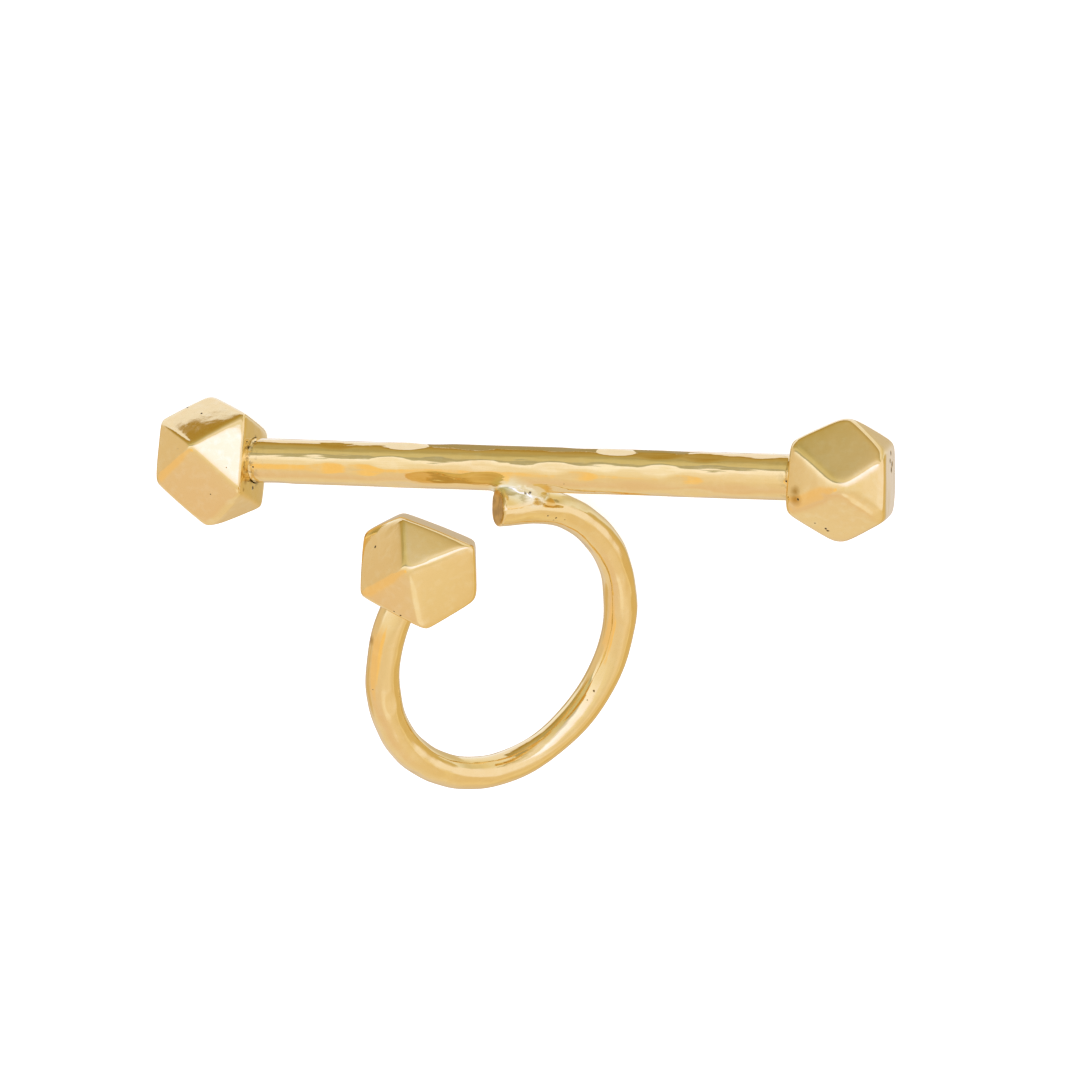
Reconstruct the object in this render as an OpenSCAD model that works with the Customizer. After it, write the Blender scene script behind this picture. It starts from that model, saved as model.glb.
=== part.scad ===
// Statement ring: a hammered bar with a faceted head on each end, and an open finger band
// soldered under its middle, with a third head on the band's far end.
// It lies as it would by itself, on the two bar heads and the lowest stretch of the band.

/* [Bar] */
// Diameter of the hammered bar
bar_d = 3.2; // [2.8:0.1:3.6]
// Distance between the centres of the bar's two heads
head_span = 45.7; // [40:0.1:52]

/* [Hammer marks] */
// Number of hammer marks, spread round and along the bar
mark_count = 42; // [12:1:48]
// Depth of a mark at its middle
mark_depth = 0.09; // [0.03:0.01:0.12]
// Radius of the hammer's domed face
hammer_r = 13; // [9:1:16]
// Plain stretch of the bar between each head and the nearest mark's middle
plain_end = 2.2; // [1.6:0.1:4]

/* [Heads] */
// Left bar head, from one square face to the one opposite
left_across = 6.5; // [5.8:0.1:6.8]
// Right bar head, from one square face to the one opposite
right_across = 6.2; // [5.8:0.1:6.8]
// Head of the finger band, from one square face to the one opposite
band_across = 6.3; // [5.8:0.1:6.8]
// How much polishing has taken off each corner of a head
corner_cut = 0.12; // [0.05:0.01:0.25]
// Turn of the left head about the bar, from lying flat on a square face
left_roll = -3.8; // [-14:0.1:-1]
// Turn of the right head about the bar, from lying flat on a square face
right_roll = 11; // [1:0.1:20]
// Turn of the band's head about its wire, from a square face in line with the band
band_roll = 2.7; // [-15:0.1:15]
// Depth to which the bar or the wire goes into a head
seat_depth = 1.6; // [1:0.1:2]
// Gap all round the bar or the wire inside a head
seat_gap = 0.03; // [0.02:0.01:0.05]

/* [Finger band] */
// Inner diameter of the band, where the finger goes
finger_d = 18.1; // [16:0.1:20]
// Diameter of the band's wire
wire_d = 2.4; // [2:0.1:2.8]
// Lean of the band over from lying flat on the floor, in degrees
band_lean = 48.5; // [46:0.1:51]
// Direction of that lean, in degrees from the bar's own direction
band_turn = 9.1; // [4:0.1:14]
// Place where the bend ends beside the bar, in degrees round from the band's lowest point
joint_angle = 59; // [56:0.5:63]
// Bend from that place round to the band's head, in degrees
band_sweep = 289.4; // [280:0.1:294]

/* [Soldered joint] */
// Place of the joint along the bar, from its middle
joint_x = 0.4; // [-2:0.1:2]
// Depth to which the bar and the wire are melted into each other
solder_bite = 0.1; // [0.05:0.01:0.15]
// Radius of the solder that fills the joint
solder_r = 1.3; // [1.1:0.05:1.4]
// Straight end of the wire past the joint
free_end = 2.4; // [2:0.1:3]
// Slant of the cut across that end, in degrees
end_slant = 16; // [0:1:20]

/* [Hidden] */

$fn = 96;
brass = [0.86, 0.70, 0.40];
cut_reach = 10;                                  // size of the blocks that cut corners off
join_step = 0.01;                                // straight wire is this much thinner all round
join_reach = 0.2;                                // and starts this far inside the bend
bar_r = bar_d / 2;
wire_r = wire_d / 2;
band_r = finger_d / 2 + wire_r;                  // radius of the wire's centre line
left_face_x = -head_span / 2 + left_across / 2;
right_face_x = head_span / 2 - right_across / 2;
golden_turn = 137.5;                             // spreads the marks evenly round the bar
mark_half = sqrt(2 * hammer_r * mark_depth);     // half the length of a mark along the bar

// A head is a cube whose corners are cut off at the middles of its edges: six square faces
// and eight triangles. Its twelve corners lie at the middles of the cube's edges.
corner_slope = atan(sqrt(2));                    // from a square face to a triangle
function edge_middle(flat_axis, a, b) =
    [for (k = [0:2]) k == flat_axis ? 0 : k == (flat_axis + 1) % 3 ? a : b];
corners = [for (i = [0:2]) for (a = [-1, 1]) for (b = [-1, 1]) edge_middle(i, a, b)];
function rolled(p, roll) = [p.x, p.y * cos(roll) - p.z * sin(roll), p.y * sin(roll) + p.z * cos(roll)];
// The points where a polished corner meets the edges that ran into it
function worn_corners(across, roll, x) =
    let (half = across / 2, share = 2 * corner_cut / (half * sqrt(2)))
    [for (p = corners) for (q = corners) if (abs(norm(q - p) - sqrt(2)) < 0.01)
        [x, 0, 0] + rolled((p + (q - p) * share) * half, roll)];
function lowest(points) =
    let (low = min([for (p = points) p.z])) [for (p = points) if (p.z < low + 0.001) p][0];

// The bar lies on the lowest corners of its two heads, which sets its height and slope
left_low = lowest(worn_corners(left_across, left_roll, -head_span / 2));
right_low = lowest(worn_corners(right_across, right_roll, head_span / 2));
bar_slope = atan2(right_low.z - left_low.z, right_low.x - left_low.x);
bar_height = left_low.x * sin(bar_slope) - left_low.z * cos(bar_slope);
bar_way = [cos(bar_slope), 0, -sin(bar_slope)];

// Directions in the band's plane: down its slope, and level across it
downhill = [cos(band_lean) * cos(band_turn), cos(band_lean) * sin(band_turn), -sin(band_lean)];
level = [-sin(band_turn), cos(band_turn), 0];
function on_band(angle) = band_r * (cos(angle) * downhill + sin(angle) * level);
function along_band(angle) = cos(angle) * level - sin(angle) * downhill;

// The straight end of the wire crosses the bar at joint_x, side by side, and the band's
// lowest point lies on the floor. The two together place the band.
end_way = along_band(joint_angle);
across_both = cross(end_way, bar_way) / norm(cross(end_way, bar_way));
joint_way = across_both * (across_both.y < 0 ? 1 : -1);
bar_point = [0, 0, bar_height] + joint_x * bar_way;
wire_point = bar_point + (bar_r + wire_r - solder_bite) * joint_way;
rest_height = band_r * sin(band_lean) + wire_r;
past_bend = ((wire_point - on_band(joint_angle)).z - rest_height) / end_way.z;
band_centre = wire_point - on_band(joint_angle) - past_bend * end_way;
joint_point = bar_point + (bar_r - solder_bite / 2) * joint_way;

// The origin is under the middle of the whole ring
head_angle = joint_angle - band_sweep;
side_reach = band_r * sqrt(1 - pow(sin(band_lean) * sin(band_turn), 2)) + wire_r;
back_y = max([for (p = concat(worn_corners(left_across, left_roll, 0),
                              worn_corners(right_across, right_roll, 0))) p.y]);
front_y = band_centre.y - side_reach;
function on_floor(p) = p.x * cos(bar_slope) + p.z * sin(bar_slope);
left_x = min([for (p = worn_corners(left_across, left_roll, -head_span / 2)) on_floor(p)]);
right_x = max([for (p = worn_corners(right_across, right_roll, head_span / 2)) on_floor(p)]);

module centred() {
    translate([-(left_x + right_x) / 2, -(front_y + back_y) / 2, 0]) children();
}

// Frame of the bar: X along it, from its middle
module at_bar() {
    centred() translate([0, 0, bar_height]) rotate([0, bar_slope, 0]) children();
}

// Frame of the band: its plane is XY, and its lowest point is on +X
module at_band() {
    centred() translate(band_centre) rotate([0, band_lean, band_turn]) children();
}

// Frame on the wire at an angle round the band: +X outwards, +Y along the wire
module on_wire(angle) {
    rotate([0, 0, angle]) translate([band_r, 0, 0]) children();
}

module along_y(way) {
    rotate([way > 0 ? -90 : 90, 0, 0]) children();
}

module head(across) {
    intersection() {
        cube(across, center = true);
        triangle_slabs(across);
        corner_slabs(across);
    }
}

// Four slabs whose faces are the eight triangles
module triangle_slabs(across) {
    slab = 2 * across / sqrt(3);
    intersection_for (turn = [45:90:315])
        rotate([0, corner_slope, turn])
            cube([2 * cut_reach, 2 * cut_reach, slab], center = true);
}

// Six slabs that take a little off the twelve corners
module corner_slabs(across) {
    slab = across * sqrt(2) - 2 * corner_cut;
    intersection() {
        rotate([45, 0, 0]) cube([2 * cut_reach, slab, slab], center = true);
        rotate([0, 45, 0]) cube([slab, 2 * cut_reach, slab], center = true);
        rotate([0, 0, 45]) cube([slab, slab, 2 * cut_reach], center = true);
    }
}

// A head with its blind hole in the face at +X
module drilled_head(across, hole_d) {
    color(brass)
        difference() {
            head(across);
            translate([across / 2 - seat_depth - seat_gap, 0, 0])
                rotate([0, 90, 0])
                    cylinder(h = seat_depth + across, d = hole_d + 2 * seat_gap);
        }
}

// One mark: the hammer's domed face, trimmed to the little that goes into the bar
module hammer_mark() {
    trim = [2 * mark_half + mark_depth, bar_r, 3 * mark_depth];
    intersection() {
        translate([0, 0, bar_r + hammer_r - mark_depth]) sphere(r = hammer_r);
        translate([0, 0, bar_r]) cube(trim, center = true);
    }
}

module hammer_marks() {
    first = left_face_x + plain_end;
    step = (right_face_x - left_face_x - 2 * plain_end) / (mark_count - 1);
    for (k = [0:mark_count - 1])
        rotate([k * golden_turn, 0, 0]) translate([first + k * step, 0, 0]) hammer_mark();
}

module bar() {
    start = left_face_x - seat_depth;
    end = right_face_x + seat_depth;
    difference() {
        translate([start, 0, 0]) rotate([0, 90, 0]) cylinder(h = end - start, d = bar_d);
        hammer_marks();
    }
}

// Straight wire off the end of the bend, a hair thinner so that no two surfaces coincide
module straight_wire(length) {
    translate([0, 0, -join_reach]) cylinder(h = length + join_reach, r = wire_r - join_step);
}

module band() {
    rotate([0, 0, head_angle])
        rotate_extrude(angle = band_sweep)
            translate([band_r, 0]) circle(d = wire_d);
    on_wire(head_angle)
        along_y(-1) straight_wire(seat_depth);
    on_wire(joint_angle)
        difference() {
            along_y(1) straight_wire(past_bend + free_end + wire_d);
            translate([0, past_bend + free_end, 0])
                rotate([-end_slant, 0, 0])
                    translate([-cut_reach / 2, 0, -cut_reach / 2]) cube(cut_reach);
        }
}

// Solder in the corner between the bar and the wire's straight end
module solder() {
    centred() translate(joint_point) sphere(r = solder_r);
}

module bar_and_band() {
    color(brass) {
        at_bar() bar();
        at_band() band();
        solder();
    }
}

module left_bar_head() {
    at_bar() translate([-head_span / 2, 0, 0]) rotate([left_roll, 0, 0])
        drilled_head(left_across, bar_d);
}

module right_bar_head() {
    at_bar() translate([head_span / 2, 0, 0]) rotate([right_roll, 0, 0])
        mirror([1, 0, 0]) drilled_head(right_across, bar_d);
}

module band_head() {
    at_band() on_wire(head_angle) translate([0, -band_across / 2, 0])
        rotate([0, band_roll, 0]) rotate([0, 0, 90])
            drilled_head(band_across, wire_d);
}

bar_and_band();
left_bar_head();
right_bar_head();
band_head();
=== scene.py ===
# Statement ring: a hammered bar with a faceted head on each end, soldered across an open
# finger band of round wire that ends in a head of its own. It lies as it would by itself.
import math

import bpy
import numpy as np
from mathutils import Matrix, Vector


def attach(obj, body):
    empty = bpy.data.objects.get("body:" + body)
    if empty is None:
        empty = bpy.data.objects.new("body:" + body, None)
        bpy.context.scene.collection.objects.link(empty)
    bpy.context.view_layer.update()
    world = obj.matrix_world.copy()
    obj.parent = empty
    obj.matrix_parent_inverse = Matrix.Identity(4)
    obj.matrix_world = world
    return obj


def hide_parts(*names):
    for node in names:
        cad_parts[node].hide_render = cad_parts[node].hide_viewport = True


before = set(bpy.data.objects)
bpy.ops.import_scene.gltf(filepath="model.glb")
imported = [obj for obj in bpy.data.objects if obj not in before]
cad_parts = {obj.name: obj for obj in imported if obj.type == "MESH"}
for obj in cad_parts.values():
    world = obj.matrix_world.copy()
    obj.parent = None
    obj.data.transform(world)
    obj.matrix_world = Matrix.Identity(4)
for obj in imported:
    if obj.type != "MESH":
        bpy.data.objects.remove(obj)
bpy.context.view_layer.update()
print("frame loaded:", len(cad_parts), "nodes")

mm = 0.001              # shapes are worked out in millimetres and made in metres
goldenTurn = 137.5      # degrees; spreads things evenly round the wire
farOutside = 1e3        # distances that never count in a comparison
farInside = -9.0

# Where things lie, as in the solids
ring = {
    "barMiddle": (0.0753, 9.6585, 3.5252),
    "barRise": 0.0034,              # the right head ends a little higher
    "headSpan": 45.7,
    "bandCentre": (-1.519, -1.883, 8.877),
    "bandLean": 48.5,
    "bandTurn": 9.1,
    "bandRadius": 10.25,            # of the wire's centre line
    "bandHeadAt": -230.4,           # degrees round from the band's lowest point
    "bandJointAt": 59.0,
}


def unit(v):
    v = np.asarray(v, float)
    return v / np.linalg.norm(v)


def turned(first, second, degrees):
    a = math.radians(degrees)
    return math.cos(a) * first + math.sin(a) * second


barWay = unit((1, 0, ring["barRise"]))
barMiddle = np.array(ring["barMiddle"])
sideways = np.array((0.0, 1.0, 0.0))
barUp = np.cross(barWay, sideways)
lean = math.radians(ring["bandLean"])
turn = math.radians(ring["bandTurn"])
bandCentre = np.array(ring["bandCentre"])
downhill = np.array((math.cos(lean) * math.cos(turn), math.cos(lean) * math.sin(turn), -math.sin(lean)))
level = np.array((-math.sin(turn), math.cos(turn), 0.0))
bandAxis = np.cross(downhill, level)


def onBand(degrees):
    return bandCentre + ring["bandRadius"] * turned(downhill, level, degrees)


def alongBand(degrees):
    return turned(level, -downhill, degrees)


# Shapes are described by how far a point is outside them, so that edges can be polished
# round and the solder can flow into its corner
def softMax(a, b, width):
    near = np.clip(width - np.abs(a - b), 0, None) / width
    return np.maximum(a, b) + near * near * width / 4


def softMin(a, b, width):
    return -softMax(-a, -b, width)


def slopeOf(field, points, step=0.004):
    ways = np.array(((1, -1, -1), (-1, -1, 1), (-1, 1, -1), (1, 1, 1))) / math.sqrt(3)
    total = sum(field(points + step * way)[:, None] * way for way in ways)
    return total * 3 / (4 * step)


def unitRows(rows):
    return rows / np.maximum(np.linalg.norm(rows, axis=1, keepdims=True), 1e-12)


def wobble(points, seed, lengths, heights):
    # slow hand-made unevenness: a few waves in random directions
    dice = np.random.default_rng(seed)
    total = np.zeros(len(points))
    for length, height in zip(lengths, heights):
        for way in unitRows(dice.normal(size=(3, 3))):
            total += height / 3 * np.sin(points @ way * (2 * math.pi / length) + dice.uniform(0, 6.28))
    return total


def makePiece(name, points, faces, normals):
    mesh = bpy.data.meshes.new(name)
    mesh.from_pydata((np.asarray(points) * mm).tolist(), [], faces)
    mesh.validate()
    for face in mesh.polygons:
        face.use_smooth = True
    mesh.normals_split_custom_set_from_vertices(np.asarray(normals).tolist())
    piece = bpy.data.objects.new(name, mesh)
    bpy.context.scene.collection.objects.link(piece)
    return piece


def paint(piece, name, values):
    values = np.asarray(values, np.float32)
    single = values.ndim == 1
    layer = piece.data.attributes.new(name, "FLOAT" if single else "FLOAT_VECTOR", "POINT")
    layer.data.foreach_set("value" if single else "vector", values.ravel())


# Bar, band and solder, one fused piece
bar = {
    "radius": 1.6,
    "left": -21.2,                  # its ends, hidden in the heads
    "right": 21.35,
    "hammerRadius": 13.0,
    "markDepth": 0.085,
    "markEdge": 0.05,               # how round a mark's edge is worn
    "markReach": 2.6,               # longer than half of any mark
    "endEdge": 0.1,
    "faceAt": 19.5,                 # about where the heads' faces are, to either side
    "unevenLengths": (7.0, 3.1),
    "uneven": (0.012, 0.006),
    # marks that face the viewer: place along the bar, degrees round it, and weight
    "marks": (
        (-13.3, -2, 0.7), (-8.3, -10, 1.1), (-3.1, -14, 0.8), (2.9, -22, 0.9), (7.0, -10, 0.9),
        (10.0, -1, 0.8), (13.3, 1, 0.9), (17.2, -12, 0.5),
        (-14.6, 40, 0.2), (-9.1, 46, 0.6), (-5.6, 36, 0.25), (-2.4, 47, 0.6), (0.6, 34, 0.2),
        (2.8, 46, 0.6), (6.4, 38, 0.3), (10.3, 45, 0.7), (14.0, 37, 0.2),
        (-13.8, 66, 0.7), (-11.2, 68, 0.7), (4.5, 68, 0.6), (11.8, 69, 0.6),
        (-6.2, 83, 1.0), (-2.2, 79, 1.0), (-8.5, 113, 1.0), (1.8, 110, 1.25), (12.5, 105, 0.9),
        (15.8, 88, 0.5), (8.4, 92, 0.7),
    ),
    "backMarks": 26,                # more of them, spread over the rest
    "backFrom": 135,
    "backTo": 330,
    "backReach": 18.3,              # to either side of the middle
    "collar": 0.11,                 # height of the uneven bead against each head
    "pits": ((-19.3, 140, 0.13), (-19.2, 124, 0.10), (-19.2, 68, 0.06), (-19.3, -5, 0.07),
             (19.2, 60, 0.08), (19.3, 95, 0.08), (3.5, 88, 0.04)),
    "seed": 11,
}
band = {
    "radius": 1.2,
    "straightEnd": 2.55,            # from the bend to the cut end
    "endWay": (-0.8213, 0.3699, 0.4345),    # the way the slanted cut faces
    "endEdge": 0.26,
    "seat": 1.6,
    "seatEdge": 0.1,
    "planish": (0.055, 0.028),      # how uneven the wire was left
    "planishLengths": (5.2, 2.4),
    "marks": 18,                    # shallow dents, spread round the bend
    "dentRadius": 7.0,
    "dentDepth": 0.05,
    "dentEdge": 0.04,
    "dentReachSquared": 6,
    "dentsFrom": 40,                # degrees round the bend, and how far they go on
    "dentsSweep": 255,
    "collar": 0.13,
    # pits and a few worn specks past the joint: place and radius
    "pits": (((3.58, -9.19, 5.77), 0.08), ((2.03, 6.76, 5.12), 0.05), ((2.46, 6.24, 4.7), 0.06),
             ((2.95, 5.69, 4.23), 0.05), ((2.3, 6.1, 4.8), 0.04)),
    "stains": (((-8.82, 3.81, 15.6), 0.35),),
    "seed": 5,
}
solder = {
    "from": (0.47, 8.36, 4.37),     # where the bar and the wire touch
    "to": (-0.40, 8.58, 4.86),      # and on towards the wire's cut end
    "radius": 0.95,
    "flow": 0.9,                    # how softly it runs out onto both
    "bead": (0.35, 9.3, 5.2),       # a drop on top of it
    "beadRadius": 0.15,
    "beadFlow": 0.3,
    "pits": (((0.80, 9.05, 5.42), 0.12), ((1.07, 8.95, 5.28), 0.12)),
}
# The thin uneven bead of solder hard against each head's face
collar = {
    "off": 0.10,                    # middle of the bead, from the face
    "width": 0.12,
    "fade": 0.04,                   # it is gone this close to the face
    "reach": 0.9,                   # no bead farther than this along the bar or the wire
    "level": 0.5,                   # on the bar it is this share of its height, more or less
    "sway": 12,
    "highest": 0.2,
    "seed": 3,
    "waveLengths": (1.3,),
    "waves": (0.12,),
}
# How one skin is made round them all, and how far their tones run on it
fused = {
    "voxel": 0.125,
    "settle": 3,
    "tubeSides": 40,
    "wireSteps": 140,
    "anyWay": (0.31, 0.57, 0.76),   # any direction that isn't the bar's
    "flattest": 0.2,                # slopes are taken as no flatter than this
    "longestStep": 0.25,
    "join": 0.4,                    # how softly the bar and the wire meet
    "skin": 0.25,                   # points this far off the bar are still the bar's
    "skinFade": 0.2,
    "seamFrom": 19.6,               # full dirt on the bar from here to the heads
    "seamFade": 0.35,
    "solderReach": 1.75,
    "solderFade": 0.5,
    "cutDepth": 0.12,               # the sawn tone goes this little way over the cut's edge
    "cutFade": 0.08,
    "cutReach": 1.4,
    "drawnReach": 0.3,              # streaks run along the bar up to here, else the wire
}


def barMarks():
    dice = np.random.default_rng(bar["seed"])
    marks = list(bar["marks"])
    reach = bar["backReach"]
    for k in range(bar["backMarks"]):
        along = -reach + 2 * reach * (k + 0.5) / bar["backMarks"] + dice.uniform(-0.5, 0.5)
        around = bar["backFrom"] + (bar["backTo"] - bar["backFrom"]) * ((k * 0.618) % 1)
        marks.append((along, around + dice.uniform(-8, 8), dice.uniform(0.75, 1.1)))
    return marks


hammerMarks = barMarks()


def wireDents():
    dice = np.random.default_rng(band["seed"])
    dents = []
    for k in range(band["marks"]):
        degrees = band["dentsFrom"] - band["dentsSweep"] * (k + 0.5) / band["marks"] + dice.uniform(-5, 5)
        outward = turned(downhill, level, degrees)
        side = turned(outward, bandAxis, (k * goldenTurn + 40) % 360)
        depth = band["dentDepth"] * dice.uniform(0.5, 1.0)
        rise = band["radius"] + band["dentRadius"] - depth
        dents.append((onBand(degrees), onBand(degrees) + rise * side))
    return dents


dents = wireDents()


def beadOn(head, points):
    gap = headFields[head](points)
    bead = np.exp(-((gap - collar["off"]) / collar["width"]) ** 2)
    return bead * np.clip(gap / collar["fade"], 0, 1)


def barField(points):
    offset = points - barMiddle
    along = offset @ barWay
    out = np.linalg.norm(offset - along[:, None] * barWay, axis=1) - bar["radius"]
    out = out - wobble(points, bar["seed"], bar["unevenLengths"], bar["uneven"])
    for sign, head in ((-1, 0), (1, 1)):
        near = np.abs(sign * along - bar["faceAt"]) < collar["reach"]
        waves = wobble(points[near], collar["seed"], collar["waveLengths"], collar["waves"])
        height = bar["collar"] * (collar["level"] + collar["sway"] * waves)
        out[near] -= beadOn(head, points[near]) * np.clip(height, 0, collar["highest"])
    for place, around, weight in hammerMarks:
        near = np.abs(along - place) < bar["markReach"]
        depth = bar["markDepth"] * weight
        rise = bar["radius"] + bar["hammerRadius"] - depth
        centre = barMiddle + place * barWay + rise * turned(sideways, barUp, around)
        dish = bar["hammerRadius"] - np.linalg.norm(points[near] - centre, axis=1)
        out[near] = softMax(out[near], dish, bar["markEdge"])
    out = softMax(out, along - bar["right"], bar["endEdge"])
    return softMax(out, bar["left"] - along, bar["endEdge"])


jointStart = onBand(ring["bandJointAt"])
jointWay = alongBand(ring["bandJointAt"])
seatStart = onBand(ring["bandHeadAt"])
seatWay = -alongBand(ring["bandHeadAt"])
cutPlace = jointStart + band["straightEnd"] * jointWay
cutWay = unit(band["endWay"])


def distanceFromLine(points, start, way):
    offset = points - start
    along = offset @ way
    apart = np.linalg.norm(offset - along[:, None] * way, axis=1)
    return np.where(along >= 0, apart, farOutside), along


def wireField(points):
    offset = points - bandCentre
    across = offset @ downhill
    upwards = offset @ level
    degrees = np.degrees(np.arctan2(upwards, across))
    bend = np.hypot(np.hypot(across, upwards) - ring["bandRadius"], offset @ bandAxis)
    onArc = (degrees <= ring["bandJointAt"]) | (degrees >= ring["bandHeadAt"] + 360)
    bend = np.where(onArc, bend, farOutside)
    straight, _ = distanceFromLine(points, jointStart, jointWay)
    seat, alongSeat = distanceFromLine(points, seatStart, seatWay)
    seat = np.where(alongSeat < 6, seat, farOutside)
    straight = np.where(offset @ bandAxis < 6, straight, farOutside)
    out = np.minimum(np.minimum(bend, straight), seat) - band["radius"]
    out = out - wobble(points, band["seed"], band["planishLengths"], band["planish"])
    for place, centre in dents:
        near = ((points - place) ** 2).sum(1) < band["dentReachSquared"]
        dish = band["dentRadius"] - np.linalg.norm(points[near] - centre, axis=1)
        out[near] = softMax(out[near], dish, band["dentEdge"])
    pastCut = np.where(straight < 4, (points - cutPlace) @ cutWay, farInside)
    out = softMax(out, pastCut, band["endEdge"])
    near = (np.abs(alongSeat) < collar["reach"]) & (np.abs(seat) < 4)
    out[near] -= beadOn(2, points[near]) * band["collar"]
    pastSeat = np.where(seat < 4, alongSeat - band["seat"], farInside)
    return softMax(out, pastSeat, band["seatEdge"])


def fromSolder(points):
    start, end = np.array(solder["from"]), np.array(solder["to"])
    share = np.clip((points - start) @ (end - start) / ((end - start) @ (end - start)), 0, 1)
    return np.linalg.norm(points - start - share[:, None] * (end - start), axis=1)


def fusedField(points):
    pool = fromSolder(points) - solder["radius"]
    drop = np.linalg.norm(points - np.array(solder["bead"]), axis=1) - solder["beadRadius"]
    metal = softMin(barField(points), wireField(points), fused["join"])
    return softMin(softMin(metal, pool, solder["flow"]), drop, solder["beadFlow"])


def tube(places, spokes, radius, base=0):
    # a closed tube round the places, each with its two spokes; base is its first point's number
    sides = fused["tubeSides"]
    points = [place + radius * turned(first, second, 360 * k / sides)
              for place, (first, second) in zip(places, spokes) for k in range(sides)]
    faces = []
    for i in range(len(places) - 1):
        for k in range(sides):
            here, beside = base + i * sides + k, base + i * sides + (k + 1) % sides
            faces.append((here, beside, beside + sides, here + sides))
    last = base + len(points) - sides
    faces.append(tuple(range(base + sides - 1, base - 1, -1)))
    faces.append(tuple(range(last, last + sides)))
    return points, faces


def roughFused():
    # bar and wire as plain closed tubes, for the remesh to join
    barEnds = [barMiddle + along * barWay for along in (bar["left"], bar["right"])]
    first = unit(np.cross(barWay, fused["anyWay"]))
    points, faces = tube(barEnds, [(first, np.cross(barWay, first))] * 2, bar["radius"])
    angles = np.linspace(ring["bandHeadAt"], ring["bandJointAt"], fused["wireSteps"])
    places = [seatStart + band["seat"] * seatWay] + [onBand(a) for a in angles] + [cutPlace]
    ways = [alongBand(angles[0])] + [alongBand(a) for a in angles] + [jointWay]
    # spokes in the band's plane and square to it, so that the tube doesn't twist
    spokes = [(np.cross(way, bandAxis), bandAxis) for way in ways]
    wirePoints, wireFaces = tube(places, spokes, band["radius"], len(points))
    return points + wirePoints, faces + wireFaces


def skin(points, faces, voxel):
    # Blender's voxel remesh turns the overlapping tubes into one even skin
    mesh = bpy.data.meshes.new("rough")
    mesh.from_pydata([tuple(p) for p in points], [], faces)
    rough = bpy.data.objects.new("rough", mesh)
    bpy.context.scene.collection.objects.link(rough)
    remesh = rough.modifiers.new("skin", "REMESH")
    remesh.mode = "VOXEL"
    remesh.voxel_size = voxel
    remesh.adaptivity = 0
    graph = bpy.context.evaluated_depsgraph_get()
    even = rough.evaluated_get(graph).to_mesh()
    points = np.empty(len(even.vertices) * 3, np.float32)
    even.vertices.foreach_get("co", points)
    faces = [tuple(p.vertices) for p in even.polygons]
    edges = np.empty(len(even.edges) * 2, np.int32)
    even.edges.foreach_get("vertices", edges)
    rough.evaluated_get(graph).to_mesh_clear()
    bpy.data.objects.remove(rough)
    return points.reshape(-1, 3).astype(float), faces, edges.reshape(-1, 2)


def pulled(points, field, rounds=3):
    # moves points onto the field's surface
    for _ in range(rounds):
        slope = slopeOf(field, points)
        steep = np.maximum((slope * slope).sum(1), fused["flattest"])
        step = (field(points) / steep)[:, None] * slope
        size = np.linalg.norm(step, axis=1, keepdims=True)
        points = points - step * np.minimum(1, fused["longestStep"] / np.maximum(size, 1e-9))
    return points


def relaxed(points, edges):
    # each point goes to the middle of its neighbours
    total = np.zeros_like(points)
    count = np.zeros(len(points))
    np.add.at(total, edges[:, 0], points[edges[:, 1]])
    np.add.at(total, edges[:, 1], points[edges[:, 0]])
    np.add.at(count, edges[:, 0], 1)
    np.add.at(count, edges[:, 1], 1)
    return total / count[:, None]


def makeBarAndBand():
    points, faces, edges = skin(*roughFused(), fused["voxel"])
    points = pulled(points, fusedField)
    for _ in range(fused["settle"]):
        points = pulled(relaxed(points, edges), fusedField, 1)
    points = pulled(points, fusedField)
    normals = unitRows(slopeOf(fusedField, points))
    piece = makePiece("barAndBand", points, faces, normals)
    offset = points - barMiddle
    along = offset @ barWay
    away = np.linalg.norm(offset - along[:, None] * barWay, axis=1)
    onBar = np.clip((bar["radius"] + fused["skin"] - away) / fused["skinFade"], 0, 1)
    seam = np.exp(-np.clip(fused["seamFrom"] - np.abs(along), 0, None) / fused["seamFade"]) * onBar
    atSolder = np.clip((fused["solderReach"] - fromSolder(points)) / fused["solderFade"], 0, 1)
    atCut = np.clip(((points - cutPlace) @ cutWay + fused["cutDepth"]) / fused["cutFade"], 0, 1)
    atCut = atCut * (np.linalg.norm(points - cutPlace, axis=1) < fused["cutReach"])
    fromCentre = points - bandCentre
    across, upwards = fromCentre @ downhill, fromCentre @ level
    # counted round from the band's open side, so that no count jumps along the wire
    openAt = math.radians((ring["bandJointAt"] + ring["bandHeadAt"] + 360) / 2)
    around = np.mod(np.arctan2(upwards, across) - openAt, 2 * math.pi) + openAt - 2 * math.pi
    onWire = np.stack((ring["bandRadius"] * around,
                       np.hypot(across, upwards) - ring["bandRadius"], fromCentre @ bandAxis), 1)
    alongBar = np.stack((along, offset @ sideways, offset @ barUp), 1)
    isBar = away[:, None] < bar["radius"] + fused["drawnReach"]
    paint(piece, "drawn", np.where(isBar, alongBar, onWire))
    paint(piece, "seam", seam)
    paint(piece, "solder", atSolder)
    paint(piece, "cut", atCut)
    print("bar and band:", len(points), "points,", len(faces), "faces")
    return piece


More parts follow.
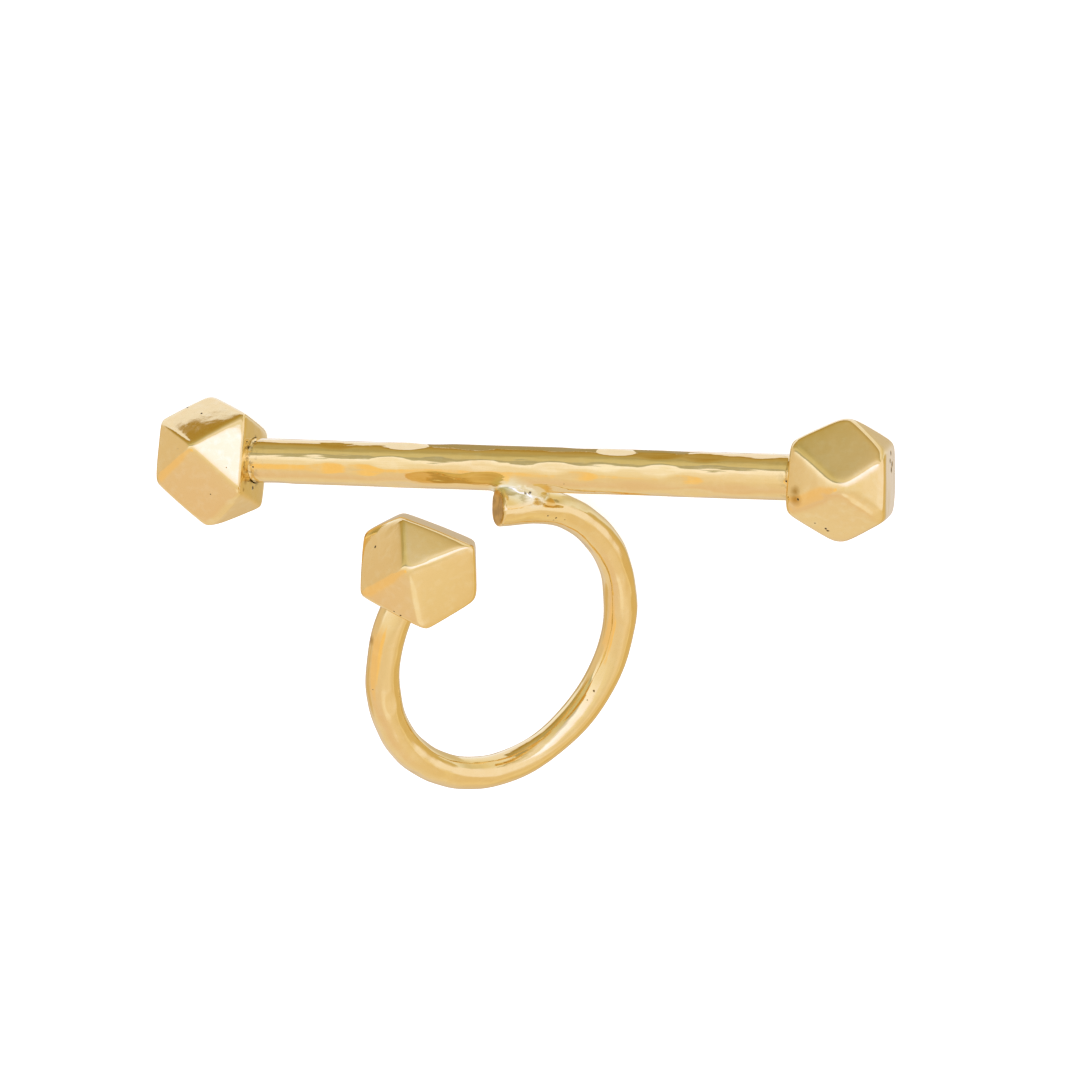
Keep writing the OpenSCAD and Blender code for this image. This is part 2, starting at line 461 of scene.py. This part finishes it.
# Heads: twelve corners, six squares and eight triangles, each a little off true
headMake = {
    "crown": 0.009,                 # how much each face swells
    "grow": 0.07,                   # makes up for what the soft ridges lose
    "wave": (0.014, 0.004),
    "waveLengths": (3.4, 1.3),
    "boreGap": 0.035,
    "boreLip": 0.035,
    "seat": 1.6,                    # depth of the bore
    "seamFade": 0.12,
    "softSpan": (0.35, 0.85),       # where a softer ridge is softest, as shares of its length
    "rows": 150,
    "columns": 320,
    "poleGap": 0.004,               # the last row's angle from the far end, in radians
}
leftHead = {
    "name": "leftBarHead", "node": "left_bar_head",
    "across": 6.5, "roll": -3.8,
    "bore": 1.6, "boreSide": 1,
    "seed": 21, "ridge": 0.085,     # softness of the ridges
    # softer ridges: from corner to corner, how much more, and how far to either side
    "soft": (("waist0", "outer3", 0.05, 0.5), ("inner3", "waist3", 0.12, 0.6)),
    "worn": 0.10,                   # what polishing took off each corner
    # pits: degrees from the bar's direction, degrees round it, and radius
    "pits": ((115, -29, 0.09), (95, -14, 0.07), (76, 96, 0.05), (31, 130, 0.14)),
    "stains": ((34, 67, 0.22), (36, 90, 0.28), (43, 96, 0.14)),
    "nudges": {
        "inner0": (-0.23, 0.57, -0.36), "inner1": (0.10, 0.07, -0.13), "inner2": (0.05, -0.62, 0.45),
        "inner3": (-0.07, -0.28, 0.23), "waist1": (-0.36, 0.03, 0.09), "waist3": (0.15, -0.35, 0.21),
        "outer0": (0.05, 0.05, -0.05), "outer3": (0.01, 0.16, -0.13),
    },
}
rightHead = {
    "name": "rightBarHead", "node": "right_bar_head",
    "across": 6.2, "roll": 11.0,
    "bore": 1.6, "boreSide": -1,
    "seed": 22, "ridge": 0.12,
    "soft": (("waist0", "inner3", 0.16, 0.6), ("waist0", "outer3", 0.09, 0.6)),
    "worn": 0.22,
    "pits": ((104, 123, 0.09), (102, 126, 0.09), (115, 115, 0.06), (130, 79, 0.07),
             (30, -38, 0.16), (23, -24, 0.15), (20, -60, 0.20), (13, -48, 0.19)),
    "stains": ((135, 70, 0.38), (133, 80, 0.46)),
    "nudges": {
        "waist0": (0.44, -0.29, 0.19), "waist1": (0.31, -0.06, -0.05), "waist3": (-0.19, -0.08, 0.17),
        "inner0": (-0.14, 0.36, -0.40), "inner3": (-0.64, 0.13, 0.08),
        "outer0": (0.01, -0.09, 0.11), "outer1": (0.16, 0.11, -0.24), "outer2": (0.18, -0.15, 0.07),
        "outer3": (0.12, -0.29, 0.32),
    },
}
bandHead = {
    "name": "bandHead", "node": "band_head",
    "across": 6.3, "roll": 2.7,
    "bore": 1.2, "boreSide": 1,
    "seed": 23, "ridge": 0.10,
    "soft": (("waist0", "inner3", 0.10, 0.5), ("waist0", "inner0", 0.07, 0.5),
             ("waist0", "outer0", 0.05, 0.5)),
    "worn": 0.08,
    "pits": ((94, 110, 0.09), (38, 45, 0.05), (38, 33, 0.07)),
    "stains": (),
    "nudges": {
        "waist0": (-0.19, -0.10, 0.10), "waist1": (0.22, 0.14, -0.12), "waist3": (-0.55, -0.03, -0.06),
        "inner0": (0.32, 0.25, -0.24), "inner3": (-0.04, -0.24, 0.28),
        "outer0": (-0.11, 0.64, -0.81), "outer1": (-0.05, 0.20, -0.25), "outer2": (0.39, -0.34, 0.47),
        "outer3": (0.22, 0.05, -0.01),
    },
}


def headCorners(head, way, first, second):
    # inner corners face the bar or the wire, outer ones face away from it
    reach = head["across"] / math.sqrt(2)
    side = head["boreSide"]
    corners = {}
    for k in range(4):
        corners[f"waist{k}"] = reach * turned(first, second, head["roll"] + 45 - 90 * k)
        spoke = turned(first, second, head["roll"] - 90 * k)
        corners[f"inner{k}"] = reach / math.sqrt(2) * (side * way + spoke)
        corners[f"outer{k}"] = reach / math.sqrt(2) * (-side * way + spoke)
    flat, up = turned(first, second, head["roll"]), turned(first, second, head["roll"] + 90)
    for name, (along, across, over) in head["nudges"].items():
        corners[name] = corners[name] + along * way + across * flat + over * up
    return corners


def headPlanes(corners, worn):
    groups = [[f"inner{k}" for k in range(4)], [f"outer{k}" for k in range(4)]]
    for k in range(4):
        after, before = (k + 1) % 4, (k - 1) % 4
        groups.append([f"inner{k}", f"waist{k}", f"outer{k}", f"waist{after}"])
        groups.append([f"waist{k}", f"inner{k}", f"inner{before}"])
        groups.append([f"waist{k}", f"outer{k}", f"outer{before}"])
    ways, heights = [], []
    for group in groups:
        rows = np.array([corners[name] for name in group])
        middle = rows.mean(0)
        way = np.linalg.svd(rows - middle)[2][2]
        way = way if way @ middle > 0 else -way
        ways.append(way)
        heights.append(way @ middle)
    for corner in corners.values():
        ways.append(unit(corner))
        heights.append(np.linalg.norm(corner) - worn)
    return np.array(ways), np.array(heights)


def headField(head, centre, corners):
    ways, heights = headPlanes(corners, head["worn"])
    crown = headMake["crown"]
    # inside this distance, squared, the faces swell
    swollen = (head["across"] ** 2 / 2 + heights ** 2) / 2
    heights = heights + headMake["grow"]
    softened = [(corners[a], corners[b] - corners[a], *rest) for a, b, *rest in head["soft"]]

    def field(points):
        offset = points - centre
        ridge = np.full(len(points), head["ridge"])
        for start, edge, more, reach in softened:
            share = np.clip((offset - start) @ edge / (edge @ edge), *headMake["softSpan"])
            away = ((offset - start - share[:, None] * edge) ** 2).sum(1)
            ridge = ridge + more * np.exp(-away / reach ** 2)
        swell = crown * ((offset * offset).sum(1)[:, None] - swollen)
        lift = (offset @ ways.T - heights + swell) / ridge[:, None]
        top = lift.max(1)
        out = ridge * (top + np.log(np.exp(lift - top[:, None]).sum(1)))
        return out - wobble(offset, head["seed"], headMake["waveLengths"], headMake["wave"])

    return field


def reachOf(field, starts, rays, high):
    # how far along each ray the head ends, found by halving
    inner = np.full(len(rays), 1.0)
    outer = np.full(len(rays), high)
    for _ in range(34):
        middle = (inner + outer) / 2
        outside = field(starts + middle[:, None] * rays) > 0
        outer = np.where(outside, middle, outer)
        inner = np.where(outside, inner, middle)
    return (inner + outer) / 2


def makeHead(field, head, centre, way, first, second):
    columns, rows = headMake["columns"], headMake["rows"]
    boreWay = head["boreSide"] * way
    boreWays = np.tile(boreWay, (columns, 1))
    bore = head["bore"] + headMake["boreGap"]
    spokes = np.array([turned(first, second, 360 * k / columns) for k in range(columns)])
    rim = bore + headMake["boreLip"]
    rimDepth = reachOf(field, centre + rim * spokes, boreWays, 6.0)
    rimAngle = np.arctan2(rim, rimDepth)

    depthStop = head["across"] / 2 - headMake["seat"]
    layers = []
    normals = []
    for share in (0.0, 0.5, 1.0):    # floor of the bore
        layers.append(centre + share * bore * spokes + depthStop * boreWay)
        normals.append(boreWays)
    for share in (0.0, 0.35, 0.7, 0.9, 1.0):    # its wall
        depth = depthStop + share * (rimDepth - headMake["boreLip"] - depthStop)
        layers.append(centre + bore * spokes + depth[:, None] * boreWay)
        normals.append(-spokes)
    for row in range(rows):    # and the outside, from the rim to the far end
        angle = rimAngle + (math.pi - headMake["poleGap"] - rimAngle) * row / (rows - 1)
        rays = np.cos(angle)[:, None] * boreWay + np.sin(angle)[:, None] * spokes
        places = centre + reachOf(field, centre, rays, 7.0)[:, None] * rays
        layers.append(places)
        normals.append(unitRows(slopeOf(field, places)))
    layers[0] = layers[0][:1]
    normals[0] = normals[0][:1]
    points = np.vstack(layers)
    normals = np.vstack(normals)
    faces = [(0, 1 + (k + 1) % columns, 1 + k) for k in range(columns)]
    for layer in range(len(layers) - 2):
        start = 1 + layer * columns
        for k in range(columns):
            after = (k + 1) % columns
            faces.append((start + k, start + after, start + columns + after, start + columns + k))
    last = 1 + (len(layers) - 2) * columns
    faces.append(tuple(last + k for k in range(columns)))
    if np.cross(first, second) @ boreWay > 0:    # so that every face looks outwards
        faces = [tuple(reversed(face)) for face in faces]
    piece = makePiece(head["name"], points, faces, normals)
    offset = points - centre
    depth = offset @ boreWay
    away = np.linalg.norm(offset - depth[:, None] * boreWay, axis=1)
    seam = np.exp(-np.clip(away - bore, 0, None) / headMake["seamFade"]) * (depth > 0)
    paint(piece, "seam", seam)
    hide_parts(head["node"])
    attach(piece, "root")
    print(head["name"] + ":", len(points), "points,", len(faces), "faces")
    return piece


# Metal
finish = {
    "gold": (0.88, 0.71, 0.31, 1),
    "rose": (0.88, 0.655, 0.29, 1),
    "pale": (0.92, 0.78, 0.42, 1),
    "solder": (0.88, 0.82, 0.53, 1),
    "dirt": (0.06, 0.035, 0.015, 1),
    "stain": (0.52, 0.33, 0.08, 1),
    "sawn": (0.72, 0.45, 0.11, 1),  # the wire's cut end, and its darker streaks
    "sawnDark": (0.50, 0.29, 0.05, 1),
    "stainShare": 0.95,
    "sawnShare": 0.9,
    # roughness: from polished to dull patches, then the solder, the cut end and the pits
    "polish": 0.045,
    "dull": 0.10,
    "solderRough": 0.15,
    "sawnRough": 0.34,
    "pitRough": 0.6,
    "ragged": 0.14,                 # how far a pit's or a stain's outline wanders
}


def nodeAdder(tree):
    def add(kind, inputs=None, **settings):
        node = tree.nodes.new(kind)
        for key, value in settings.items():
            setattr(node, key, value)
        for key, value in (inputs or {}).items():
            if isinstance(value, bpy.types.NodeSocket):
                tree.links.new(value, node.inputs[key])
            else:
                node.inputs[key].default_value = value
        return node

    return add


def nodeMaker(name):
    material = bpy.data.materials.new(name)
    material.use_nodes = True
    material.node_tree.nodes.clear()
    return material, nodeAdder(material.node_tree)


def maths(add, kind, *values):
    return add("ShaderNodeMath", dict(enumerate(values)), operation=kind).outputs[0]


def spread(add, value, start, end, low=0.0, high=1.0, kind="LINEAR"):
    # start becomes low and end becomes high, and past them it stays so
    return add("ShaderNodeMapRange", {"Value": value, "From Min": start, "From Max": end,
                                      "To Min": low, "To Max": high},
               interpolation_type=kind).outputs[0]


def mixed(add, share, first, second):
    return add("ShaderNodeMix", {0: share, 6: first, 7: second}, data_type="RGBA").outputs[2]


def mixedValue(add, share, first, second):
    return add("ShaderNodeMix", {0: share, 2: first, 3: second}).outputs[0]


def noise(add, where, scale, detail, **more):
    return add("ShaderNodeTexNoise", {"Vector": where, "Scale": scale, "Detail": detail, **more},
               noise_dimensions="4D" if "W" in more else "3D").outputs["Fac"]


def painted(add, name, output="Fac"):
    return add("ShaderNodeAttribute", attribute_name=name).outputs[output]


def surfaceSpot(field, start, way):
    # walks in to the field's surface from a point near the start
    reach = 0.5
    for _ in range(60):
        reach -= float(field((start + reach * way)[None])[0])
    return start + reach * way


def spots(add, inMm, pits, sharp):
    # pits or stains of ragged outline at the given places, each with its radius
    ragged = add("ShaderNodeTexNoise", {"Vector": inMm, "Scale": 5.0, "Detail": 2.0})
    shift = add("ShaderNodeVectorMath", {0: ragged.outputs["Color"], "Scale": finish["ragged"]},
                operation="SCALE")
    where = add("ShaderNodeVectorMath", {0: inMm, 1: shift.outputs[0]}).outputs[0]
    total = None
    for spot, radius in pits:
        middle = tuple(spot + finish["ragged"] / 2)
        away = add("ShaderNodeVectorMath", {0: where, 1: middle}, operation="DISTANCE").outputs["Value"]
        share = spread(add, away, sharp * radius, 1.3 * radius, 1.0, 0.0)
        total = share if total is None else maths(add, "MAXIMUM", total, share)
    return total


def brassColour(add, inMm, flecked, seed, stains):
    # gold drifting to rose, with pale flecks and stains
    colour = mixed(add, noise(add, inMm, 0.22, 3.0, W=seed), finish["gold"], finish["rose"])
    flecks = spread(add, noise(add, inMm, 1.8, 4.0, W=seed), 0.48, 0.70, 0.0, flecked)
    colour = mixed(add, flecks, colour, finish["pale"])
    stained = maths(add, "MULTIPLY", spots(add, inMm, stains, 0.2), finish["stainShare"])
    return mixed(add, stained, colour, finish["stain"])


def seamDirt(add, inMm):
    seam = painted(add, "seam")
    patches = spread(add, noise(add, inMm, 2.4, 2.0), 0.52, 0.62, 0.0, 0.8)
    return maths(add, "MULTIPLY", seam, patches)


def pitting(add, inMm, pits):
    # tiny specks all over, and the pits that have places of their own
    specks = add("ShaderNodeTexVoronoi", {"Vector": inMm, "Scale": 0.5, "Randomness": 1.0})
    speckShare = spread(add, specks.outputs["Distance"], 0.010, 0.028, 0.8, 0.0)
    return maths(add, "MAXIMUM", spots(add, inMm, pits, 0.6), speckShare)


def unevenNormal(add, place, inMm, grain, waviness):
    # drawing streaks, then fine scratches, then slow swells
    stretched = add("ShaderNodeMapping", {"Vector": place, "Scale": (400, 2600, 2600)})
    lines = noise(add, stretched.outputs["Vector"], 4.0, 2.0)
    swells = noise(add, inMm, 1.1, 1.5)
    drawn = add("ShaderNodeMapping", {"Vector": painted(add, "drawn", "Vector"), "Scale": (0.13, 1.0, 1.0)})
    streaks = noise(add, drawn.outputs["Vector"], 1.9, 2.0)
    normal = add("ShaderNodeBump", {"Height": streaks, "Strength": 0.34, "Distance": 0.0001})
    for height, strength, distance in ((lines, grain, 0.00001), (swells, waviness, 0.0001)):
        normal = add("ShaderNodeBump", {"Height": height, "Strength": strength, "Distance": distance,
                                        "Normal": normal.outputs["Normal"]})
    return normal.outputs["Normal"]


def brass(name, grain, waviness, flecked, seed, pits, stains):
    material, add = nodeMaker(name)
    place = add("ShaderNodeTexCoord").outputs["Object"]
    inMm = add("ShaderNodeMapping", {"Vector": place, "Scale": (1000, 1000, 1000)}).outputs["Vector"]
    colour = brassColour(add, inMm, flecked, seed, stains)
    atSolder = painted(add, "solder")
    colour = mixed(add, atSolder, colour, finish["solder"])
    seamShare = seamDirt(add, inMm)
    pitShare = pitting(add, inMm, pits)
    dark = maths(add, "MAXIMUM", seamShare, pitShare)
    cut = painted(add, "cut")
    cutShare = maths(add, "MULTIPLY", cut, finish["sawnShare"])
    sawStreaks = spread(add, noise(add, inMm, 1.6, 3.0), 0.40, 0.60)
    sawTone = mixed(add, sawStreaks, finish["sawn"], finish["sawnDark"])
    colour = mixed(add, cutShare, colour, sawTone)
    colour = mixed(add, dark, colour, finish["dirt"])
    cloud = noise(add, inMm, 0.8, 4.0, Roughness=0.6)
    rough = spread(add, cloud, 0.3, 0.7, finish["polish"], finish["dull"])
    normal = unevenNormal(add, place, inMm, grain, waviness)
    rough = mixedValue(add, atSolder, rough, finish["solderRough"])
    rough = mixedValue(add, cut, rough, finish["sawnRough"])
    rough = mixedValue(add, pitShare, rough, finish["pitRough"])
    sunk = add("ShaderNodeBump", {"Height": pitShare, "Strength": 0.5, "Distance": 0.0001,
                                  "Normal": normal}, invert=True)
    shader = add("ShaderNodeBsdfPrincipled", {"Base Color": colour, "Metallic": 1.0, "Roughness": rough,
                                              "Normal": sunk.outputs["Normal"]})
    add("ShaderNodeOutputMaterial", {"Surface": shader.outputs["BSDF"]})
    return material


def barPits():
    found = []
    for along, around, radius in bar["pits"]:
        out = turned(sideways, barUp, around)
        found.append((surfaceSpot(barField, barMiddle + along * barWay, out), radius))
    return found + [(np.array(place), radius) for place, radius in solder["pits"] + band["pits"]]


def onHead(kind, field, head, centre, way, first, second):
    # the places of a head's pits or stains, on its surface
    found = []
    for tilt, around, radius in head[kind]:
        ray = turned(way, turned(first, second, around), tilt)
        found.append((surfaceSpot(field, centre, ray), radius))
    return found


# each head, its middle, and its three directions: along the bar or the wire, and two across
halfSpan = ring["headSpan"] / 2
headFrames = (
    (leftHead, barMiddle - halfSpan * barWay, barWay, sideways, barUp),
    (rightHead, barMiddle + halfSpan * barWay, barWay, sideways, barUp),
    (bandHead, seatStart + bandHead["across"] / 2 * seatWay, -seatWay, bandAxis,
     np.cross(-seatWay, bandAxis)),
)
headFields = [headField(head, centre, headCorners(head, *ways)) for head, centre, *ways in headFrames]
placedHeads = [(field, *placing) for field, placing in zip(headFields, headFrames)]
headPits = [spot for placed in placedHeads for spot in onHead("pits", *placed)]
headStains = [spot for placed in placedHeads for spot in onHead("stains", *placed)]
wireStains = [(np.array(place), radius) for place, radius in band["stains"]]
hammered = brass("hammeredBrass", 0.15, 0.14, 0.3, 3.0, barPits(), wireStains)
polished = brass("polishedBrass", 0.1, 0.10, 0.45, 40.0, headPits, headStains)
print("brass:", len(headPits), "pits and", len(headStains), "stains on the heads")

barAndBand = makeBarAndBand()
barAndBand.data.materials.append(hammered)
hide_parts("bar_and_band")
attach(barAndBand, "root")

for placed in placedHeads:
    makeHead(*placed).data.materials.append(polished)


# Studio: a pale lit table, under strip lights and grey cloths hung along the bar's direction
studio = {
    "table": (0.93, 0.93, 0.93, 1),
    "tableSize": 1.6,
    "tableGlow": 0.68,
    "backdrop": (1.0, 1.0, 1.0, 1),
    # degrees round the bar's direction, 0 at the horizon behind the bar and 90 overhead,
    # then the light that comes from there on the left and on the right
    "strips": (
        (-180, (0.84, 0.78, 0.85), (0.77, 0.60, 0.35)),
        (-160, (0.70, 0.60, 0.52), (0.68, 0.54, 0.28)),
        (-150, (0.64, 0.55, 0.48), (0.70, 0.58, 0.38)),
        (-143, (0.64, 0.55, 0.48), (0.94, 0.96, 1.12)),
        (-118, (0.62, 0.52, 0.40), (0.76, 0.70, 0.60)),
        (-108, (0.64, 0.55, 0.42), (0.84, 0.76, 0.62)),
        (-104, (1.06, 1.20, 1.75), (0.88, 0.80, 0.66)),
        (-72, (1.00, 1.00, 1.30), (0.95, 0.93, 1.00)),
        (-63.3, (1.00, 1.05, 1.45), (0.92, 0.88, 0.90)),
        (-62, (0.44, 0.29, 0.06), (0.50, 0.42, 0.25)),
        (-36, (0.55, 0.45, 0.23), (0.80, 0.73, 0.66)),
        (-20, (0.51, 0.46, 0.30), (0.98, 0.95, 1.15)),
        (-5, (0.72, 0.67, 0.50), (0.95, 0.92, 1.05)),
        (9, (0.72, 0.68, 0.55), (0.92, 0.90, 0.98)),
        (13, (0.50, 0.50, 0.48), (1.05, 1.10, 1.50)),
        (22, (0.54, 0.54, 0.50), (1.26, 1.34, 2.45)),
        (25.5, (1.15, 1.20, 1.65), (1.32, 1.42, 2.65)),
        (48, (1.00, 0.96, 1.08), (1.15, 1.18, 1.85)),
        (60, (0.99, 0.93, 0.98), (0.98, 0.92, 0.92)),
        (90, (0.90, 0.79, 0.74), (0.88, 0.78, 0.73)),
        (118, (0.88, 0.74, 0.72), (0.96, 0.85, 0.82)),
        (134, (0.87, 0.71, 0.66), (0.91, 0.79, 0.70)),
        (155, (0.90, 0.82, 0.80), (0.86, 0.71, 0.55)),
        (168, (0.88, 0.79, 0.78), (0.93, 0.80, 0.62)),
        (180, (0.84, 0.78, 0.85), (0.77, 0.60, 0.35)),
    ),
    "left": -0.20,                  # along the bar, where the left and right tones are reached
    "right": 0.55,
    "rise": 65,                     # degrees by which the table's far edge rises to the right
    # and to the left: from where to where along the bar, and by how many degrees
    "falls": ((-0.43, -0.49, 14), (-0.31, -0.36, 2.3)),
    "bend": (20, -20),              # it acts from the first of these degrees, fully at the second
    # straight off the bar's ends, and where those tones begin and are reached
    "leftEnd": ((0.82, 0.70, 0.62, 1), 0.80, 0.96),
    "rightEnd": ((1.04, 1.0, 1.2, 1), 0.88, 0.96),
    # a lamp overhead, two orange cloths, and a brown one in front, counted from both sides of
    # half a turn: middle along the bar and round it, half length and half width, and light
    "glows": (
        (0.27, 116, 0.32, 17, (1.02, 0.96, 1.04, 1)),
        (-0.40, 80, 0.22, 20, (1.06, 0.78, 0.44, 1)),
        (-0.76, 92, 0.38, 42, (0.96, 0.73, 0.52, 1)),
        (-0.90, 180, 0.17, 42, (0.74, 0.58, 0.38, 1)),
        (-0.90, -180, 0.17, 42, (0.74, 0.58, 0.38, 1)),
    ),
    # painted shadow: dark cards flat on the table by the bar, under it, standing in for the bar's shadow
    # there as the metal would mirror it: left and right side, then front and back
    "shadowCards": (((-7.4, 5.1), (9.4, 12.9)), ((7.6, 11.6), (9.4, 12.9))),
    "shadowTone": (0.44, 0.38, 0.26, 1),
    "brightest": 4.0,
}


def makeTable():
    half = studio["tableSize"]
    mesh = bpy.data.meshes.new("table")
    mesh.from_pydata([(-half, -half, 0), (half, -half, 0), (half, half, 0), (-half, half, 0)], [],
                     [(0, 1, 2, 3)])
    table = bpy.data.objects.new("table", mesh)
    bpy.context.scene.collection.objects.link(table)
    material, add = nodeMaker("paleTable")
    place = add("ShaderNodeTexCoord").outputs["Object"]
    rough = spread(add, noise(add, place, 900.0, 2.0), 0.0, 1.0, 0.20, 0.26)
    shader = add("ShaderNodeBsdfPrincipled", {"Base Color": studio["table"], "Roughness": rough,
                                              "Emission Color": studio["table"],
                                              "Emission Strength": studio["tableGlow"]})
    add("ShaderNodeOutputMaterial", {"Surface": shader.outputs["BSDF"]})
    mesh.materials.append(material)
    table.visible_glossy = False    # the metal mirrors the strips and the cards of painted shadow


# a glowing dark card that only the metal sees: painted shadow, in place of the bar's own shadow on the
# table
def makeShadowCard(sides):
    (left, right), (front, back) = sides
    mesh = bpy.data.meshes.new("card")
    corners = ((left, front), (right, front), (right, back), (left, back))
    mesh.from_pydata([(x * mm, y * mm, 0.05 * mm) for x, y in corners], [], [(0, 1, 2, 3)])
    card = bpy.data.objects.new("card", mesh)
    bpy.context.scene.collection.objects.link(card)
    material, add = nodeMaker("paintedShadowCard")
    glow = add("ShaderNodeEmission", {"Color": studio["shadowTone"]})
    add("ShaderNodeOutputMaterial", {"Surface": glow.outputs["Emission"]})
    mesh.materials.append(material)
    card.visible_camera = False     # it only shows in the metal, as a dark line: a painted reflection of the bar's shadow on the table
    card.visible_diffuse = False
    card.visible_shadow = False


def strips(add, angle, column):
    ramp = add("ShaderNodeValToRGB", {"Fac": angle})
    stops = ramp.color_ramp.elements
    for k, strip in enumerate(studio["strips"]):
        place = strip[0] / 360 + 0.5
        stop = stops[k] if k < 2 else stops.new(place)    # a new ramp has two already
        stop.position = place
        stop.color = tuple(part / studio["brightest"] for part in strip[column]) + (1,)
    return ramp.outputs["Color"]


def makeSky():
    world = bpy.data.worlds.new("strips")
    bpy.context.scene.world = world
    world.use_nodes = True
    tree = world.node_tree
    tree.nodes.clear()
    add = nodeAdder(tree)
    way = add("ShaderNodeTexCoord").outputs["Generated"]
    parts = add("ShaderNodeSeparateXYZ", {"Vector": way}).outputs
    along = parts["X"]
    degrees = maths(add, "DEGREES", maths(add, "ARCTAN2", parts["Z"], parts["Y"]))
    edge = spread(add, along, 0.0, 1.0, 0.0, studio["rise"])
    for start, end, height in studio["falls"]:
        edge = maths(add, "ADD", edge, spread(add, along, start, end, 0.0, height))
    rise = maths(add, "MULTIPLY", edge, spread(add, degrees, *studio["bend"]))
    share = spread(add, maths(add, "SUBTRACT", degrees, rise), -180, 180)
    right = spread(add, along, studio["left"], studio["right"])
    hung = mixed(add, right, strips(add, share, 1), strips(add, share, 2))
    light = add("ShaderNodeVectorMath", {0: hung, "Scale": studio["brightest"]},
                operation="SCALE").outputs[0]

    for end, sign in (("leftEnd", -1), ("rightEnd", 1)):
        tone, begin, reached = studio[end]
        beyond = spread(add, maths(add, "MULTIPLY", along, sign), begin, reached, kind="SMOOTHSTEP")
        light = mixed(add, beyond, light, tone)
    for middle, around, halfLength, halfWidth, tone in studio["glows"]:
        lengthwise = maths(add, "DIVIDE", maths(add, "SUBTRACT", along, middle), halfLength)
        crosswise = maths(add, "DIVIDE", maths(add, "SUBTRACT", degrees, around), halfWidth)
        away = maths(add, "ADD", maths(add, "POWER", lengthwise, 2), maths(add, "POWER", crosswise, 2))
        light = mixed(add, spread(add, away, 1.0, 0.1, kind="SMOOTHSTEP"), light, tone)
    seen = add("ShaderNodeLightPath").outputs["Is Camera Ray"]
    glow = add("ShaderNodeBackground", {"Color": mixed(add, seen, light, studio["backdrop"])})
    add("ShaderNodeOutputWorld", {"Surface": glow.outputs["Background"]})


makeTable()
# cards of painted shadow under the bar, seen only in the metal's reflections
for sides in studio["shadowCards"]:
    makeShadowCard(sides)
makeSky()
bpy.context.scene.view_settings.view_transform = "Standard"
print("studio:", len(studio["strips"]), "strips and", len(studio["shadowCards"]), "shadowCards")

# The photograph was taken from this side, with the camera turned over
view = {
    "place": (59.8, 162.859, 191.047),
    "right": (0.97179, -0.12505, -0.19997),
    "up": (-0.03350, 0.76609, -0.64185),
    "lens": 118.38,
}


def makeCamera():
    data = bpy.data.cameras.new("camera")
    data.lens = view["lens"]
    data.sensor_width = 36
    data.clip_start = 0.01
    data.clip_end = 10
    camera = bpy.data.objects.new("camera", data)
    bpy.context.scene.collection.objects.link(camera)
    right = Vector(view["right"]).normalized()
    back = right.cross(Vector(view["up"])).normalized()
    up = back.cross(right)
    camera.matrix_world = Matrix.Translation(Vector(view["place"]) * mm) @ Matrix(
        (right, up, back)).transposed().to_4x4()
    bpy.context.scene.camera = camera


makeCamera()
print("camera placed")
